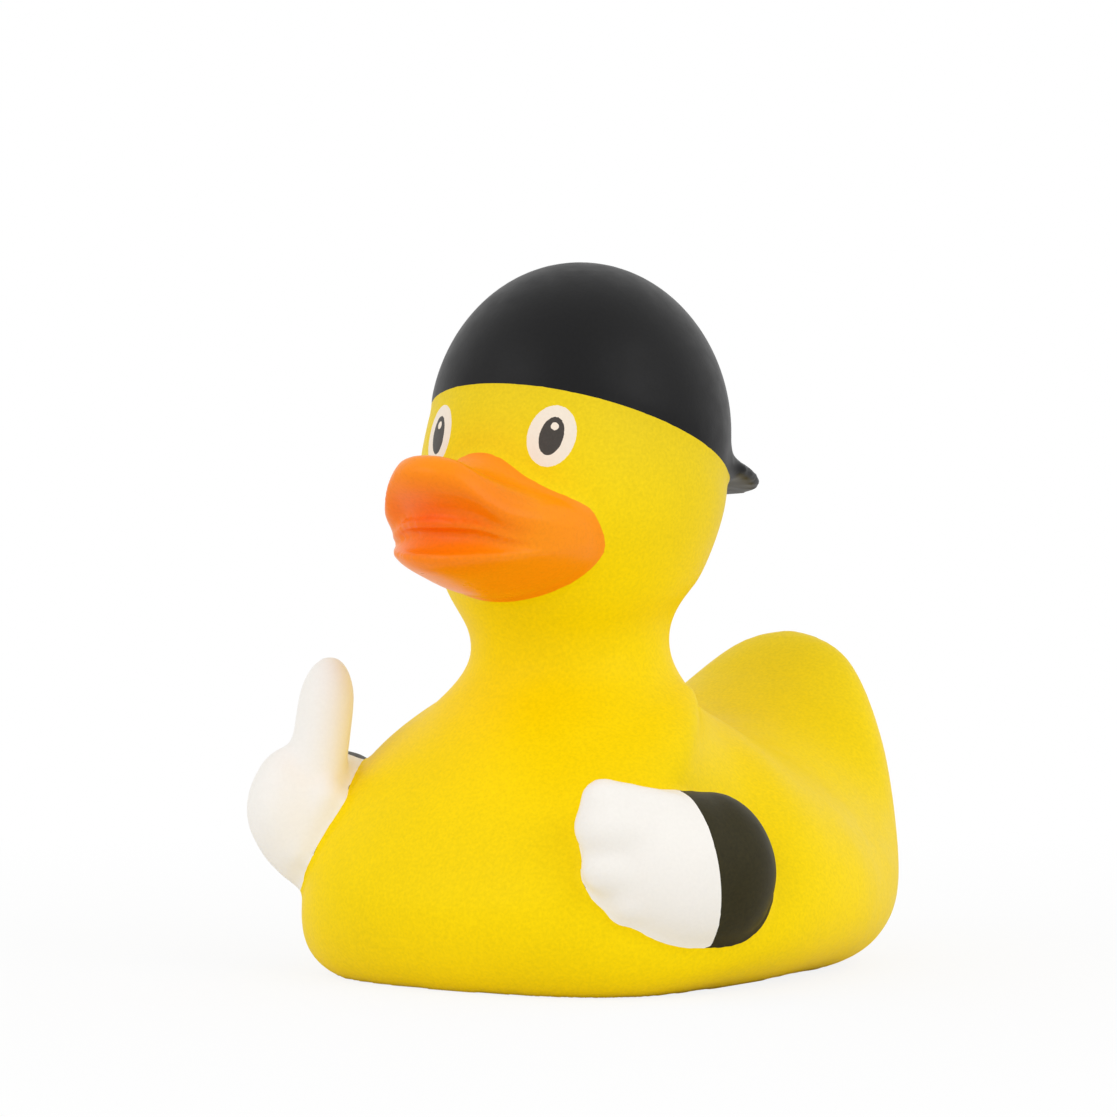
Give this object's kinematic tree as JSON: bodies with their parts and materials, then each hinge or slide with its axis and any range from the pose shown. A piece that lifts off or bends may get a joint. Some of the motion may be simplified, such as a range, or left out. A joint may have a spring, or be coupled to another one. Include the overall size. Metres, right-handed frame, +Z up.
{
  "type": "bath duck",
  "caption": "Hollow moulded vinyl bath duck with a broad bill, a bare cap worn backwards, and gloved arms on its flanks, one raising a finger and one closed to a fist.",
  "frame": {"origin": "on the flat base, in the duck's plane of symmetry, under the middle of the body", "axes": "+Z up; the duck looks along -Y; its left side is +X"},
  "size_m": [0.0682, 0.0827, 0.085],
  "materials": {
    "vinyl": "satin yellow vinyl, with the bill sprayed orange, the cap black, the gloves white and the sleeves dark olive"
  },
  "bodies": {
    "root": {"duck": "vinyl"}
  },
  "joints": []
}
